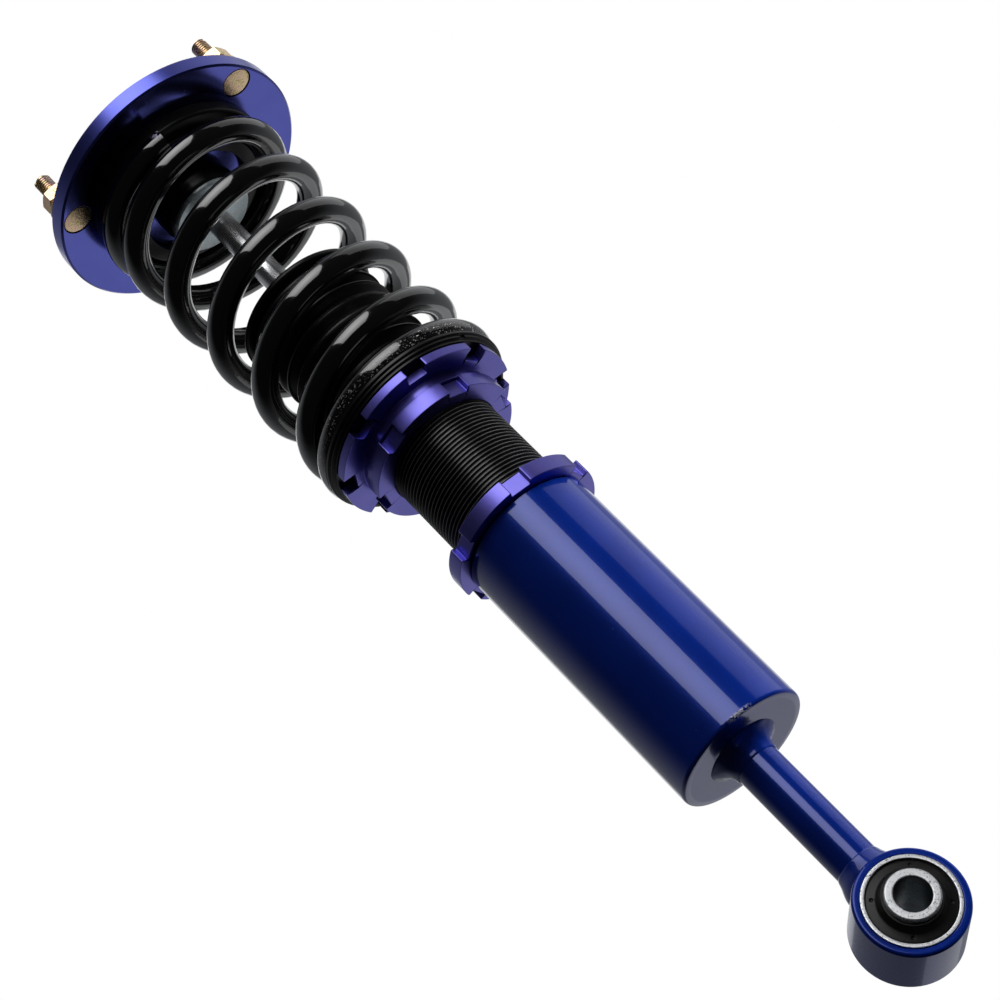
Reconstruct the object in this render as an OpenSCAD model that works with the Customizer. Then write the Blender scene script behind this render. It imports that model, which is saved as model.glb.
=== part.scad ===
// Coilover strut with a three-stud top mount, an adjustable spring perch,
// a threaded damper body and an adjustable lower bracket with a bushed eye.
// +Z runs up the strut. The origin is the centre of the lower eye's bore.
// The eye's bore runs along Y. All sizes are in millimetres.

/* [Lower eye] */
// Wall of the eye ring round the bush's outer sleeve
eye_wall = 3.25; // [2.5:0.05:6]
// Length of the eye ring along its bore
eye_len = 27; // [22:0.5:34]
// Outside diameter of the bush's outer sleeve
sleeve_d = 37.5; // [34:0.5:40]
// Wall of the bush's outer sleeve
sleeve_wall = 1.6; // [1.2:0.1:2.4]
// Outside diameter of the bush's inner sleeve
inner_d = 21.2; // [18:0.2:24]
// Bore of the inner sleeve, for an M14 bolt
eye_bore_d = 14.2; // [12.2:0.1:16.4]
// Length of the inner sleeve
inner_len = 38; // [34:0.5:46]

/* [Lower bracket] */
// Diameter of the round bar above the eye
bar_d = 19; // [16:0.5:24]
// Height of the bracket's lower face above the eye centre
bracket_z = 91.6; // [80:0.2:110]
// Length of the bracket tube
bracket_len = 132; // [110:1:160]
// Wall of the bracket tube outside its thread
bracket_wall = 3.42; // [2.8:0.02:6]
// Thickness of the disc that closes the bracket tube
disc_t = 8; // [5:0.5:12]

/* [Threaded body] */
// Outside diameter of the body thread
thread_d = 53; // [50:0.5:55]
// Pitch of the body thread
thread_pitch = 2; // [1.5:0.5:3]
// Depth of the thread groove
thread_depth = 1.1; // [0.8:0.1:1.6]
// Bore of the body tube
body_bore_d = 45; // [42:0.5:46]
// Height of the body tube's lower end
body_z = 150; // [140:1:165]
// Length of the body tube
body_len = 176; // [160:1:190]

/* [Spring perch] */
// Height of the perch lock ring's lower face
lock_z = 279.3; // [265:0.1:290]
// Outside diameter of the perch lock ring and the bracket lock ring
lock_d = 70.4; // [66:0.2:74]
// Thickness of each lock ring
lock_t = 7.8; // [6:0.2:10]
// Outside diameter of the perch ring's flange
perch_d = 87.4; // [84:0.2:92]
// Thickness of the perch ring's flange
perch_t = 4.4; // [4:0.2:8]
// Height of the perch ring's hub below its flange
perch_hub = 4.4; // [3:0.2:7]
// Width of each spanner notch
notch_w = 9.5; // [7:0.5:11]
// Spanner notches in the perch ring
perch_notches = 8; // [6:1:12]
// Spanner notches in each lock ring
lock_notches = 6; // [4:1:8]

/* [Coil spring] */
// Inside diameter of the coil spring
spring_id = 70.5; // [66:0.5:76]
// Diameter of the spring wire
wire_d = 12; // [10:0.5:13]
// Fitted length of the coil spring
spring_len = 171; // [155:1:190]
// Number of turns from tip to tip
spring_turns = 6.29; // [5.29:0.1:7.29]

/* [Top mount] */
// Outside diameter of the top plate
plate_d = 125.4; // [118:0.2:132]
// Thickness of the top plate
plate_t = 9; // [7:0.5:12]
// Pitch circle diameter of the three studs
stud_pcd = 108.3; // [100:0.1:112]
// Thread diameter of the studs
stud_d = 8; // [8:1:10]
// Length of a stud above the top plate
stud_reach = 22; // [18:1:35]
// Diameter of a stud's round head
head_d = 14.6; // [13:0.2:18]
// Outside diameter of the rubber mount bush
bush_d = 40; // [36:0.5:44]
// Height of the rubber isolator above the spring
iso_t = 7; // [5:0.5:10]

/* [Damper] */
// Diameter of the piston rod
rod_d = 12; // [11:0.5:14]
// Diameter of the rod's thread at the top mount
rod_thread_d = 10; // [8:1:11]
// Height of the dust boot's lower end below the top of the body tube
boot_grip = 9.9; // [8:0.1:16]
// Height of the dust boot
boot_len = 64; // [50:1:70]
// Outside diameter of the dust boot's top disc
boot_d = 66; // [60:0.5:68]

/* [Hidden] */

$fn = 96;
run = 0.08;          // radial clearance where a thread or a rod runs in a bore
gap = 0.3;           // air between pieces that turn or slide past each other
bore_r = thread_d/2 + run;
root_r = thread_d/2 - thread_depth;
bracket_d = 2*(bore_r + bracket_wall);
eye_d = sleeve_d + 2*eye_wall;

// stations up the strut
bracket_top = bracket_z + bracket_len;
bring_z = bracket_top + gap;
perch_z = lock_z + lock_t + gap;
perch_top = perch_z + perch_hub + perch_t;
seat_z = perch_top + gap;
seat_t = 4.4;
spring_z = seat_z + seat_t + 0.1;
spring_top = spring_z + spring_len;
plate_z = spring_top + iso_t;
plate_top = plate_z + plate_t;
hub_z = plate_z - 11;
wash_z = plate_z - 26.7;
wash_t = 2.5;
bush_z = wash_z + wash_t;
bush_top = plate_top + 1;
body_top = body_z + body_len;
gland_top = body_top + 5;
boot_z = body_top - boot_grip;
boot_top = boot_z + boot_len;
stud_top = plate_top + stud_reach;
stud_a0 = 74.5;
knurl_d = stud_d + 0.6;       // the stud's pressed-in shank
screw_r = stud_d/2 - 0.4;     // a stud and its nut meet at the thread's pitch radius
flat_t = 1.6;
split_t = 2;
nut_h = 6.8;
nut_z = plate_top + flat_t + split_t;
nut_top = nut_z + nut_h;

// damper insides, counted down from the top of the body tube
guide_top = body_top - 10;
guide_z = guide_top - 16;
stop_top = guide_z - gap;
stop_z = stop_top - 6.4;
shim_t = 2.5;
piston_top = stop_z - shim_t;
piston_h = 13.5;
piston_z = piston_top - piston_h;
pnut_top = piston_z - shim_t;
pnut_h = 6.5;
rod_end = pnut_top - pnut_h - 3.5;
spigot_r = 4;
cap_t = 8;
float_z = body_z + 22;
float_h = 12;

// coil spring
wire_r = wire_d/2;
coil_r = spring_id/2 + wire_r;
ramp_lo = 1.3;
ramp_hi = 1.38;
coil_a0 = 155;
tip_up = wire_r/2;
coil_rise = spring_len - 2*tip_up;
coil_pitch = coil_rise/(spring_turns - (ramp_lo + ramp_hi)/2);
coil_seg = 24;
coil_sides = 14;
coil_rings = ceil(spring_turns*coil_seg);

function ramp(n, r) = n < r ? n*n/(2*r) : n - r/2;
function coil_z(n) = spring_z + tip_up + coil_pitch*(ramp(n, ramp_lo)
  - (spring_turns - n < ramp_hi ? pow(n - spring_turns + ramp_hi, 2)/(2*ramp_hi) : 0));

// a ring between two radii
module ring(r1, r2, h) {
  difference() {
    cylinder(r = r2, h = h);
    translate([0, 0, -1]) cylinder(r = r1, h = h + 2);
  }
}

// a hexagon across flats
module hex(af, h) cylinder(d = af/cos(30), h = h, $fn = 6);

module notches(n, a0, r_floor, z0, h)
  for (i = [0:n-1]) rotate([0, 0, a0 + i*360/n])
    translate([r_floor, -notch_w/2, z0]) cube([20, notch_w, h]);

module at_studs() for (i = [0:2]) rotate([0, 0, stud_a0 + i*120]) translate([stud_pcd/2, 0, 0]) children();

// ---- top mount ----
module top_plate() color([0.25, 0.22, 0.62]) difference() {
  rotate_extrude() polygon([
    [bush_d/2, hub_z], [bush_d/2 + 6.2, hub_z], [bush_d/2 + 7, hub_z + 0.8],
    [bush_d/2 + 7, plate_z], [plate_d/2 - 0.8, plate_z], [plate_d/2, plate_z + 0.8],
    [plate_d/2, plate_top - 1], [plate_d/2 - 1, plate_top], [15, plate_top],
    [15, plate_top - 3.1], [bush_d/2, plate_top - 3.1]]);
  at_studs() translate([0, 0, plate_z - 1]) {
    cylinder(d = knurl_d, h = plate_t + 2);
    cylinder(d = head_d + 0.4, h = 4.2);
  }
}

module stud_bolts() color([0.78, 0.66, 0.42]) at_studs() {
  translate([0, 0, plate_z + 0.2]) cylinder(d1 = head_d - 0.8, d2 = head_d, h = 0.4);
  translate([0, 0, plate_z + 0.6]) cylinder(d = head_d, h = 2.6);
  translate([0, 0, plate_z + 3.2]) cylinder(d = knurl_d, h = plate_t - 3.2);
  translate([0, 0, plate_top]) cylinder(r = screw_r, h = nut_top + 0.1 - plate_top);
  translate([0, 0, nut_top + 0.1]) cylinder(d = stud_d, h = stud_top - nut_top - 1.1);
  translate([0, 0, stud_top - 1]) cylinder(d1 = stud_d, d2 = stud_d - 2, h = 1);
}

module stud_flat_washers() color([0.74, 0.62, 0.4]) at_studs() translate([0, 0, plate_top])
  ring(stud_d/2 + 0.2, stud_d, flat_t);

module stud_lock_washers() color([0.6, 0.52, 0.36]) at_studs() translate([0, 0, plate_top + flat_t])
  difference() {
    ring(stud_d/2 + 0.1, stud_d/2 + 2.9, split_t);
    rotate([0, 0, 40]) translate([0, -0.4, -1]) cube([12, 0.8, split_t + 2]);
  }

module stud_nuts() color([0.8, 0.64, 0.44]) at_studs() translate([0, 0, nut_z])
  difference() {
    intersection() {
      hex(stud_d*1.625, nut_h);
      union() {
        cylinder(r1 = stud_d*0.82, r2 = stud_d*0.82 + 1.2, h = 1.2);
        translate([0, 0, 1.2]) cylinder(r = stud_d*0.82 + 1.2, h = nut_h - 2.4);
        translate([0, 0, nut_h - 1.2]) cylinder(r1 = stud_d*0.82 + 1.2, r2 = stud_d*0.82, h = 1.2);
      }
    }
    translate([0, 0, -1]) cylinder(r = screw_r, h = nut_h + 2);
  }

module mount_bush() color([0.08, 0.08, 0.09]) rotate_extrude() polygon([
  [8, bush_z], [bush_d/2 - 2.2, bush_z], [bush_d/2 - 0.9, bush_z + 2], [bush_d/2, bush_z + 6],
  [bush_d/2, plate_top - 3.1], [15, plate_top - 3.1], [15, bush_top], [8, bush_top]]);

module mount_sleeve() color([0.66, 0.67, 0.68]) translate([0, 0, bush_z])
  ring(rod_thread_d/2, 8, bush_top - bush_z);

module lower_washer() color([0.7, 0.74, 0.76]) rotate_extrude() polygon([
  [rod_thread_d/2, wash_z], [bush_d/2 - 1, wash_z], [bush_d/2 - 0.5, wash_z + 0.5],
  [bush_d/2 - 0.5, bush_z], [rod_thread_d/2, bush_z]]);

module upper_washer() color([0.7, 0.74, 0.76]) translate([0, 0, bush_top])
  ring(rod_thread_d/2, 17, 2.5);

module rod_nut() color([0.72, 0.73, 0.74]) translate([0, 0, bush_top + 2.5]) difference() {
  union() {
    intersection() {
      hex(17, 8.4);
      union() {
        cylinder(r1 = 8.6, r2 = 10, h = 1.4);
        translate([0, 0, 1.4]) cylinder(r = 10, h = 7);
      }
    }
    translate([0, 0, 8.4]) cylinder(r1 = 7.8, r2 = 7, h = 2.2);
  }
  translate([0, 0, -1]) cylinder(d = rod_thread_d, h = 13);
}

module upper_isolator() color([0.1, 0.1, 0.11]) rotate_extrude() polygon([
  [bush_d/2 + 7, spring_top - 8], [spring_id/2 - 2, spring_top - 8],
  [spring_id/2 - 0.85, spring_top - 6.8], [spring_id/2 - 0.85, spring_top],
  [coil_r + wire_r - 4.2, spring_top], [coil_r + wire_r - 3.2, spring_top + 1],
  [coil_r + wire_r - 3.2, plate_z], [bush_d/2 + 7, plate_z]]);

module coil_spring() color([0.03, 0.03, 0.03]) {
  pts = [for (i = [0:coil_rings]) let (n = i*spring_turns/coil_rings, a = coil_a0 + 360*n)
    for (j = [0:coil_sides-1]) let (b = 360*j/coil_sides, r = coil_r + wire_r*cos(b))
      [r*cos(a), r*sin(a), min(spring_top, max(spring_z, coil_z(n) + wire_r*sin(b)))]];
  sides = [for (i = [0:coil_rings-1], j = [0:coil_sides-1]) let (k = (j + 1) % coil_sides)
    [i*coil_sides + j, i*coil_sides + k, (i+1)*coil_sides + k, (i+1)*coil_sides + j]];
  caps = [[for (j = [coil_sides-1:-1:0]) j],
    [for (j = [0:coil_sides-1]) coil_rings*coil_sides + j]];
  polyhedron(points = pts, faces = concat(caps, sides), convexity = 12);
}

// ---- rod and piston ----
module piston_rod() color([0.85, 0.86, 0.88]) rotate_extrude() polygon([
  [0, rod_end], [spigot_r - 0.6, rod_end], [spigot_r, rod_end + 0.6], [spigot_r, stop_z],
  [rod_d/2, stop_z], [rod_d/2, wash_z], [rod_thread_d/2, wash_z],
  [rod_thread_d/2, bush_top + 17], [rod_thread_d/2 - 1, bush_top + 18], [0, bush_top + 18]]);

module rebound_stop() color([0.7, 0.68, 0.3]) translate([0, 0, stop_z])
  ring(rod_d/2, 14, stop_top - stop_z);

module rebound_shims() color([0.6, 0.61, 0.63]) rotate_extrude() polygon([
  [spigot_r, piston_top], [16, piston_top], [16, piston_top + 0.8], [13, piston_top + 0.8],
  [13, piston_top + 1.6], [10, piston_top + 1.6], [10, stop_z], [spigot_r, stop_z]]);

module piston() color([0.5, 0.5, 0.52]) difference() {
  rotate_extrude() polygon([
    [spigot_r, piston_z], [body_bore_d/2 - 1, piston_z], [body_bore_d/2 - 0.3, piston_z + 0.7],
    [body_bore_d/2 - 0.3, piston_z + 3], [body_bore_d/2 - 1.6, piston_z + 3],
    [body_bore_d/2 - 1.6, piston_top - 3], [body_bore_d/2 - 0.3, piston_top - 3],
    [body_bore_d/2 - 0.3, piston_top - 0.7], [body_bore_d/2 - 1, piston_top], [spigot_r, piston_top]]);
  for (i = [0:5]) rotate([0, 0, i*60]) translate([17.6, 0, piston_z - 1]) cylinder(d = 4, h = piston_h + 2);
}

module piston_band() color([0.35, 0.3, 0.22]) translate([0, 0, piston_z + 3])
  ring(body_bore_d/2 - 1.6, body_bore_d/2 - 0.05, piston_h - 6);

module compression_shims() color([0.6, 0.61, 0.63]) rotate_extrude() polygon([
  [spigot_r, pnut_top], [9, pnut_top], [9, pnut_top + 0.9], [12, pnut_top + 0.9],
  [12, pnut_top + 1.7], [15, pnut_top + 1.7], [15, piston_z], [spigot_r, piston_z]]);

module piston_nut() color([0.55, 0.56, 0.58]) translate([0, 0, pnut_top - pnut_h]) difference() {
  hex(13, pnut_h);
  translate([0, 0, -1]) cylinder(r = spigot_r, h = pnut_h + 2);
}

// ---- perch and seat ----
module lower_isolator() color([0.1, 0.1, 0.11]) difference() {
  rotate_extrude() polygon([
    [thread_d/2 + 1.1, seat_z], [perch_d/2 + 0.4, seat_z], [perch_d/2 + 0.4, seat_z + 1.4],
    [perch_d/2 + 1.6, seat_z + 1.4], [perch_d/2 + 1.6, seat_z + 2.8], [perch_d/2 + 2.6, seat_z + 2.8],
    [perch_d/2 + 2.6, seat_z + seat_t], [spring_id/2 - 0.85, seat_z + seat_t],
    [spring_id/2 - 0.85, seat_z + 10.4], [spring_id/2 - 2, seat_z + 11.6],
    [thread_d/2 + 1.1, seat_z + 11.6]]);
  rotate([0, 0, -54]) translate([perch_d/2 + 0.8, -1.5, seat_z - 1]) cube([6, 3, seat_t - 0.6]);
}

module perch_ring() color([0.25, 0.22, 0.62]) difference() {
  rotate_extrude() polygon([
    [bore_r, perch_z], [lock_d/2 - 2.4, perch_z], [lock_d/2 - 1.8, perch_z + 0.6],
    [lock_d/2 - 1.8, perch_z + perch_hub], [perch_d/2 - 0.6, perch_z + perch_hub],
    [perch_d/2, perch_z + perch_hub + 0.6], [perch_d/2, perch_top - 0.4],
    [perch_d/2 - 0.4, perch_top], [bore_r, perch_top]]);
  notches(perch_notches, -2, perch_d/2 - 6.2, perch_z + perch_hub - 1, perch_t + 2);
}

module lock_body(z0, a0) difference() {
  rotate_extrude() polygon([
    [bore_r, z0], [lock_d/2 - 0.7, z0], [lock_d/2, z0 + 0.7], [lock_d/2, z0 + lock_t - 0.7],
    [lock_d/2 - 0.7, z0 + lock_t], [bore_r, z0 + lock_t]]);
  notches(lock_notches, a0, lock_d/2 - 3.2, z0 - 1, lock_t + 2);
}

module perch_lock_ring() color([0.27, 0.24, 0.64]) lock_body(lock_z, -13.5);

module bracket_lock_ring() color([0.27, 0.24, 0.64]) lock_body(bring_z, -33);

// ---- damper body ----
module damper_tube() color([0.05, 0.05, 0.05]) {
  n = floor((body_len - 8)/thread_pitch);
  z0 = body_z + 4;
  rotate_extrude() polygon(concat(
    [[body_bore_d/2, body_z], [root_r - 0.4, body_z], [root_r, body_z + 0.4], [root_r, z0]],
    [for (i = [0:n-1], k = [0:3]) [k == 0 || k == 3 ? root_r : thread_d/2,
      z0 + (i + [0.12, 0.44, 0.56, 0.88][k])*thread_pitch]],
    [[root_r, z0 + n*thread_pitch], [root_r, body_top - 0.4], [root_r - 0.4, body_top],
     [body_bore_d/2, body_top]]));
}

module gland_nut() color([0.3, 0.3, 0.32]) difference() {
  rotate_extrude() polygon([
    [16, guide_top], [body_bore_d/2, guide_top], [body_bore_d/2, body_top], [root_r - 0.8, body_top],
    [root_r - 0.8, gland_top - 1], [root_r - 1.8, gland_top], [rod_d/2 + 1, gland_top],
    [rod_d/2 + 1, guide_top + 6], [16, guide_top + 6]]);
  for (i = [0:3]) rotate([0, 0, 45 + i*90]) translate([19.6, 0, gland_top - 4]) cylinder(d = 3.6, h = 6);
}

module rod_guide() color([0.55, 0.56, 0.57]) translate([0, 0, guide_z])
  ring(rod_d/2 + 1.6, body_bore_d/2, guide_top - guide_z);

module guide_bush() color([0.6, 0.5, 0.3]) translate([0, 0, guide_z])
  ring(rod_d/2 + 0.06, rod_d/2 + 1.6, guide_top - guide_z);

module rod_seal() color([0.12, 0.12, 0.12]) rotate_extrude() polygon([
  [rod_d/2 + 0.05, guide_top], [16, guide_top], [16, guide_top + 6], [rod_d/2 + 2.4, guide_top + 6],
  [rod_d/2 + 0.05, guide_top + 5.2]]);

module bump_stop() color([0.75, 0.62, 0.3]) rotate_extrude() polygon([
  [rod_d/2 + 0.5, gland_top], [15, gland_top], [16, gland_top + 4], [15, gland_top + 9],
  [12.4, gland_top + 12], [14.6, gland_top + 15.5], [14.2, gland_top + 20], [11, gland_top + 23.5],
  [12.4, gland_top + 27], [11, gland_top + 34], [rod_d/2 + 0.5, gland_top + 36]]);

module dust_boot() color([0.05, 0.05, 0.05]) {
  root = thread_d/2 + 0.5;
  crest = root + (spring_id/2 - root)*16/33;
  wall = 1.7;
  folds = 7;
  z1 = boot_z + 7;
  step = (boot_top - 3 - z1)/folds;
  rotate_extrude() polygon(concat(
    [[thread_d/2 + 0.2, boot_z], [thread_d/2 + 2.6, boot_z], [thread_d/2 + 2.6, boot_z + 6],
     [root + 0.2, z1]],
    [for (i = [0:folds-1], k = [0:1]) [k == 0 ? crest : root, z1 + (i + 0.5 + k*0.5)*step]],
    [[boot_d/2 - 0.8, boot_top - 2.6], [boot_d/2, boot_top - 1.8], [boot_d/2, boot_top - 0.5],
     [boot_d/2 - 0.5, boot_top], [rod_d/2 + 1.5, boot_top], [rod_d/2 + 1.5, boot_top - 1.8],
     [root - wall, boot_top - 1.8]],
    [for (i = [folds-1:-1:0], k = [1:-1:0]) [(k == 0 ? crest : root) - wall, z1 + (i + 0.5 + k*0.5)*step - 0.3]],
    [[root - wall, z1 - 0.6], [thread_d/2 + 0.2, boot_z + 6.4]]));
}

module tube_end_cap() color([0.4, 0.4, 0.42]) difference() {
  translate([0, 0, body_z]) cylinder(d = body_bore_d, h = cap_t);
  translate([0, 0, body_z - 1]) cylinder(d = 6, h = cap_t + 2);
}

module gas_plug() color([0.7, 0.6, 0.35]) translate([0, 0, body_z]) cylinder(d = 6, h = cap_t);

module floating_piston() color([0.5, 0.5, 0.52]) rotate_extrude() polygon([
  [0, float_z + 4], [14, float_z + 4], [14, float_z], [body_bore_d/2 - 0.9, float_z],
  [body_bore_d/2 - 0.3, float_z + 0.6], [body_bore_d/2 - 0.3, float_z + 4.4],
  [body_bore_d/2 - 2.2, float_z + 4.4], [body_bore_d/2 - 2.2, float_z + 7.6],
  [body_bore_d/2 - 0.3, float_z + 7.6], [body_bore_d/2 - 0.3, float_z + float_h - 0.6],
  [body_bore_d/2 - 0.9, float_z + float_h], [0, float_z + float_h]]);

module floating_oring() color([0.08, 0.08, 0.08]) translate([0, 0, float_z + 4.4])
  ring(body_bore_d/2 - 2.2, body_bore_d/2 - 0.05, 3.2);

// ---- bracket ----
module bracket_tube() color([0.02, 0.1, 0.45]) rotate_extrude() polygon([
  [bore_r, bracket_z], [bracket_d/2 - 1.4, bracket_z], [bracket_d/2 - 0.4, bracket_z + 0.4],
  [bracket_d/2, bracket_z + 1.4], [bracket_d/2, bracket_top - 0.5],
  [bracket_d/2 - 0.5, bracket_top], [bore_r, bracket_top]]);

module bracket_end_disc() color([0.03, 0.11, 0.42]) translate([0, 0, bracket_z])
  cylinder(r = bore_r, h = disc_t);

module disc_weld() color([0.03, 0.1, 0.4]) rotate_extrude() polygon([
  [bar_d/2, bracket_z - 9], [bar_d/2 + 0.8, bracket_z - 8.6], [bar_d/2 + 1.6, bracket_z - 6],
  [bar_d/2 + 3.4, bracket_z - 3], [bar_d/2 + 6.4, bracket_z - 1], [bar_d/2 + 7, bracket_z],
  [bar_d/2, bracket_z]]);

module lower_bar() color([0.02, 0.1, 0.45]) difference() {
  translate([0, 0, eye_d/4]) cylinder(d = bar_d, h = bracket_z - eye_d/4);
  rotate([90, 0, 0]) cylinder(d = eye_d, h = bar_d*2, center = true);
}

module eye_weld() color([0.03, 0.1, 0.4]) difference() {
  rotate_extrude() polygon([
    [bar_d/2, eye_d/2 - 6], [bar_d/2 + 3, eye_d/2 - 6], [bar_d/2 + 3, eye_d/2 + 0.6],
    [bar_d/2 + 1.8, eye_d/2 + 3.2], [bar_d/2 + 0.6, eye_d/2 + 4.6], [bar_d/2, eye_d/2 + 5]]);
  rotate([90, 0, 0]) cylinder(d = eye_d, h = bar_d*2, center = true);
}

module eye_ring() color([0.02, 0.1, 0.45]) rotate([90, 0, 0]) rotate_extrude() polygon([
  [sleeve_d/2, -eye_len/2], [eye_d/2 - 0.6, -eye_len/2], [eye_d/2, -eye_len/2 + 0.6],
  [eye_d/2, eye_len/2 - 0.6], [eye_d/2 - 0.6, eye_len/2], [sleeve_d/2, eye_len/2]]);

module bush_outer_sleeve() color([0.75, 0.76, 0.78]) rotate([90, 0, 0])
  translate([0, 0, -eye_len/2 - 0.4]) ring(sleeve_d/2 - sleeve_wall, sleeve_d/2, eye_len + 0.8);

module bush_rubber() color([0.07, 0.07, 0.07]) rotate([90, 0, 0]) rotate_extrude() {
  r0 = inner_d/2 + 0.05;
  r1 = sleeve_d/2 - sleeve_wall;
  h = eye_len/2;
  polygon([[r0, -h - 3], [r0 + 1.2, -h - 3], [r0 + 2.4, -h], [r1 - 1.6, -h + 0.4], [r1, -h + 1.4],
    [r1, h - 1.4], [r1 - 1.6, h - 0.4], [r0 + 2.4, h], [r0 + 1.2, h + 3], [r0, h + 3]]);
}

module bush_inner_sleeve() color([0.8, 0.81, 0.83]) rotate([90, 0, 0]) rotate_extrude() polygon([
  [eye_bore_d/2, -inner_len/2 + 0.4], [eye_bore_d/2 + 0.4, -inner_len/2], [inner_d/2 - 0.5, -inner_len/2],
  [inner_d/2, -inner_len/2 + 0.5], [inner_d/2, inner_len/2 - 0.5], [inner_d/2 - 0.5, inner_len/2],
  [eye_bore_d/2 + 0.4, inner_len/2], [eye_bore_d/2, inner_len/2 - 0.4]]);

top_plate();
stud_bolts();
stud_flat_washers();
stud_lock_washers();
stud_nuts();
mount_bush();
mount_sleeve();
lower_washer();
upper_washer();
rod_nut();
upper_isolator();
coil_spring();
piston_rod();
rebound_stop();
rebound_shims();
piston();
piston_band();
compression_shims();
piston_nut();
lower_isolator();
perch_ring();
perch_lock_ring();
damper_tube();
gland_nut();
rod_guide();
guide_bush();
rod_seal();
bump_stop();
dust_boot();
tube_end_cap();
gas_plug();
floating_piston();
floating_oring();
bracket_lock_ring();
bracket_tube();
bracket_end_disc();
disc_weld();
lower_bar();
eye_weld();
eye_ring();
bush_outer_sleeve();
bush_rubber();
bush_inner_sleeve();
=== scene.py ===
import math
import bpy
from mathutils import Matrix, Vector


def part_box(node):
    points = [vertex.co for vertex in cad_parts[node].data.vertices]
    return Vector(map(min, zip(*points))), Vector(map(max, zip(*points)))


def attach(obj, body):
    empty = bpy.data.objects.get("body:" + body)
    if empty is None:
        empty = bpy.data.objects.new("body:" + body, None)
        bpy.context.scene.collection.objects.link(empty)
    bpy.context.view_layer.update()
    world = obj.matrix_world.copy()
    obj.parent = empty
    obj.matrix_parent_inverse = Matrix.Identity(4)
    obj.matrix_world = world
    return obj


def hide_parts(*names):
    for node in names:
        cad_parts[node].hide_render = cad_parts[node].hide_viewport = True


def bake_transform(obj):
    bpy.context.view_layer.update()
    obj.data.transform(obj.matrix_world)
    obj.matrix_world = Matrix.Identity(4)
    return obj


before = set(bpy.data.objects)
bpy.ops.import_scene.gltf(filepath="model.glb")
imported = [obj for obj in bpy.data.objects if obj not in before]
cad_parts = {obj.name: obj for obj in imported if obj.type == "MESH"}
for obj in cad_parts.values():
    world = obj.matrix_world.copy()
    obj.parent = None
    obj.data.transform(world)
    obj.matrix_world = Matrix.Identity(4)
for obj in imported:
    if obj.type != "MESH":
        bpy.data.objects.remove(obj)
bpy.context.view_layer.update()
MM = 0.001

# radii, widths and pitches that pieces share, in mm
STUD_CIRCLE, STUD_TURNS = 54.15, (74.5, 194.5, 314.5)
FINE_PITCH = 1.25
BORE, BODY_PITCH = 26.58, 2.0
TUBE_R, BAR_R, BEAD_R = 30, 9.5, 9.3
NOTCH_WIDTH, LOCK_RING_R, LOCK_NOTCH_FLOOR, PERCH_R, PERCH_NOTCH_FLOOR = 9.5, 35.2, 32.0, 43.7, 37.5
EYE_RING_BORE, EYE_RUBBER_R, EYE_BOLT_R = 18.75, 17.15, 7.1
DIMPLE_CIRCLE, DIMPLE_START, DIMPLE_R = 14.7, 49, 0.95


# ---------------------------------------------------------------- modelling
def fresh():
    if bpy.context.object and bpy.context.object.mode != "OBJECT":
        bpy.ops.object.mode_set(mode="OBJECT")
    bpy.ops.object.select_all(action="DESELECT")


def hold(piece):
    fresh()
    piece.select_set(True)
    bpy.context.view_layer.objects.active = piece


def edit(piece):
    hold(piece)
    bpy.ops.object.mode_set(mode="EDIT")
    bpy.ops.mesh.select_mode(type="VERT")


def done(piece):
    bpy.ops.object.mode_set(mode="OBJECT")
    return piece


def settle(piece):
    """Puts the object's place into its mesh."""
    hold(piece)
    bpy.ops.object.transform_apply(location=True, rotation=True, scale=True)
    return piece


def pick_edges(piece, test):
    """Selects, in edit mode, the edges whose two ends in mm pass a test."""
    bpy.ops.mesh.select_mode(type="EDGE")
    bpy.ops.mesh.select_all(action="DESELECT")
    bpy.ops.object.mode_set(mode="OBJECT")
    ends = [v.co / MM for v in piece.data.vertices]
    for e in piece.data.edges:
        e.select = bool(test(ends[e.vertices[0]], ends[e.vertices[1]]))
    bpy.ops.object.mode_set(mode="EDIT")


def outline(name, points, axis="Z", closed=True):
    """A chain of edges through points (radius, height) in mm, beside the axis."""
    def place(r, h):
        return (r * MM, 0, h * MM) if axis == "Z" else (r * MM, h * MM, 0)

    fresh()
    bpy.ops.mesh.primitive_plane_add(size=0.001, location=place(*points[0]))
    piece = settle(bpy.context.object)
    piece.name = name
    edit(piece)
    bpy.ops.mesh.select_all(action="SELECT")
    bpy.ops.mesh.merge(type="CENTER")
    ends = list(points[1:]) + ([points[0]] if closed else [])
    last = Vector(place(*points[0]))
    for point in ends:
        here = Vector(place(*point))
        bpy.ops.mesh.extrude_vertices_move(TRANSFORM_OT_translate={"value": tuple(here - last)})
        last = here
    if closed:
        bpy.ops.mesh.select_all(action="SELECT")
        bpy.ops.mesh.remove_doubles(threshold=1e-6)
    return done(piece)


def outward(piece):
    edit(piece)
    bpy.ops.mesh.select_all(action="SELECT")
    bpy.ops.mesh.remove_doubles(threshold=1e-6)
    bpy.ops.mesh.normals_make_consistent(inside=False)
    return done(piece)


def turned(name, points, sides=128, axis="Z", closed=True):
    """A piece turned from its outline, as on a lathe."""
    piece = outline(name, points, axis, closed)
    edit(piece)
    bpy.ops.mesh.select_all(action="SELECT")
    bpy.ops.mesh.spin(steps=sides, angle=2 * math.pi, center=(0, 0, 0),
                      axis=(0, 0, 1) if axis == "Z" else (0, 1, 0), dupli=False)
    done(piece)
    return outward(piece)


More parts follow.
